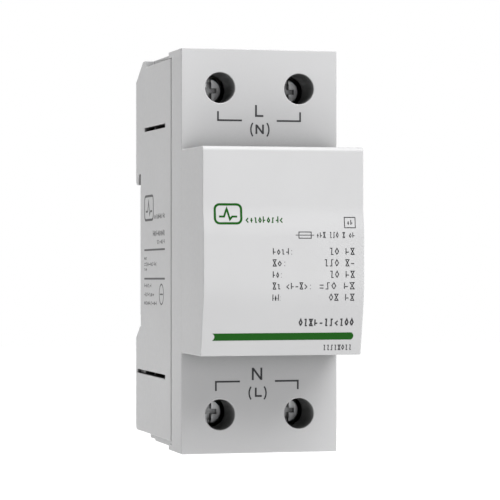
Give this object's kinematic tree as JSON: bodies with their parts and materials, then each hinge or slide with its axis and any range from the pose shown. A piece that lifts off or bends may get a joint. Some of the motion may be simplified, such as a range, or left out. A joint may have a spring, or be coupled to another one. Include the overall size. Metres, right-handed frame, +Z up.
{
  "type": "whole house surge protector",
  "caption": "Light grey rail-mounted surge protector with lift-clamp screw terminals at both ends, a swelled nose, a fixed rail hook and a sprung rail clip.",
  "frame": {"origin": "centre of the face that sits on the mounting rail, on the rail's centre line", "axes": "+X to the right seen from the front, +Y from the front towards the rail, +Z up towards the line terminals"},
  "size_m": [0.0358, 0.07, 0.09],
  "materials": {
    "housing_plastic": "fine moulded grain",
    "cover_plastic": "fine moulded grain, printed marks",
    "clip_plastic": "moulded, slightly worn",
    "grey_print": "pad-printed ink on the cover and the side",
    "green_print": "pad-printed ink on the cover",
    "spring_steel": "drawn wire",
    "screw_steel": "zinc plated",
    "cage_steel": "zinc plated sheet",
    "copper": "bare copper, slightly dulled",
    "electrode_metal": "turned copper-tungsten",
    "plated_steel": "zinc plated",
    "red_thermoset": "pressed thermoset",
    "quench_polymer": "machined polymer",
    "sleeve_steel": "drawn steel tube",
    "brass": "turned",
    "black_frame": "moulded",
    "board_laminate": "solder mask",
    "ferrite": "ground ferrite",
    "winding_copper": "enamelled wire",
    "varistor_blue": "dipped epoxy",
    "tube_ceramic": "glazed ceramic",
    "capacitor_yellow": "moulded box",
    "resistor_tan": "lacquered",
    "lead_red": "insulated wire",
    "lead_brown": "insulated wire",
    "lead_blue": "insulated wire"
  },
  "bodies": {
    "housing": {"rear_housing": "housing_plastic", "front_cover": "cover_plastic", "clip_spring": "spring_steel", "line_busbar": "copper", "neutral_busbar": "copper", "upper_electrode": "electrode_metal", "lower_electrode": "electrode_metal", "upper_electrode_nut": "plated_steel", "lower_electrode_nut": "plated_steel", "upper_gap_cap": "red_thermoset", "lower_gap_cap": "red_thermoset", "arc_ring": "quench_polymer", "gap_insulator": "red_thermoset", "gap_sleeve": "sleeve_steel", "trigger_pin": "brass", "trigger_bush": "quench_polymer", "gap_cradle": "black_frame", "board_carrier": "black_frame", "trigger_board": "board_laminate", "board_screws": "plated_steel", "transformer_core": "ferrite", "transformer_coil": "winding_copper", "varistor": "varistor_blue", "gas_tube": "tube_ceramic", "capacitor": "capacitor_yellow", "resistors": "resistor_tan", "trigger_lead": "lead_red", "line_lead": "lead_brown", "neutral_lead": "lead_blue"},
    "rail_clip": {"din_clip": "clip_plastic"},
    "line_screw_left_body": {"line_screw_left": "screw_steel"},
    "line_cage_left_body": {"line_cage_left": "cage_steel"},
    "line_screw_right_body": {"line_screw_right": "screw_steel"},
    "line_cage_right_body": {"line_cage_right": "cage_steel"},
    "neutral_screw_left_body": {"neutral_screw_left": "screw_steel"},
    "neutral_cage_left_body": {"neutral_cage_left": "cage_steel"},
    "neutral_screw_right_body": {"neutral_screw_right": "screw_steel"},
    "neutral_cage_right_body": {"neutral_cage_right": "cage_steel"}
  },
  "joints": [
    {"name": "clip_slide", "type": "slide", "parent": "housing", "child": "rail_clip", "axis": [0, 0, -1], "range_m": [0, 0.0045], "stiffness_N_per_m": 1800, "springref_m": -0.002, "deforming": ["clip_spring"]},
    {"name": "line_left_turn", "type": "hinge", "parent": "housing", "child": "line_screw_left_body", "pos_m": [-0.0091, -0.0334, 0.0363], "axis": [0, 1, 0], "range_deg": [0, 2710]},
    {"name": "line_left_lift", "type": "slide", "parent": "housing", "child": "line_cage_left_body", "axis": [0, -1, 0], "range_m": [0, 0.006]},
    {"name": "line_right_turn", "type": "hinge", "parent": "housing", "child": "line_screw_right_body", "pos_m": [0.0091, -0.0334, 0.0363], "axis": [0, 1, 0], "range_deg": [0, 2710]},
    {"name": "line_right_lift", "type": "slide", "parent": "housing", "child": "line_cage_right_body", "axis": [0, -1, 0], "range_m": [0, 0.006]},
    {"name": "neutral_left_turn", "type": "hinge", "parent": "housing", "child": "neutral_screw_left_body", "pos_m": [-0.0091, -0.0334, -0.0363], "axis": [0, 1, 0], "range_deg": [0, 2710]},
    {"name": "neutral_left_lift", "type": "slide", "parent": "housing", "child": "neutral_cage_left_body", "axis": [0, -1, 0], "range_m": [0, 0.006]},
    {"name": "neutral_right_turn", "type": "hinge", "parent": "housing", "child": "neutral_screw_right_body", "pos_m": [0.0091, -0.0334, -0.0363], "axis": [0, 1, 0], "range_deg": [0, 2710]},
    {"name": "neutral_right_lift", "type": "slide", "parent": "housing", "child": "neutral_cage_right_body", "axis": [0, -1, 0], "range_m": [0, 0.006]}
  ],
  "couplings": [
    {"joint": "line_left_turn", "follows": "line_left_lift", "rad_per_m": 7854},
    {"joint": "line_right_turn", "follows": "line_right_lift", "rad_per_m": 7854},
    {"joint": "neutral_left_turn", "follows": "neutral_left_lift", "rad_per_m": 7854},
    {"joint": "neutral_right_turn", "follows": "neutral_right_lift", "rad_per_m": 7854}
  ]
}
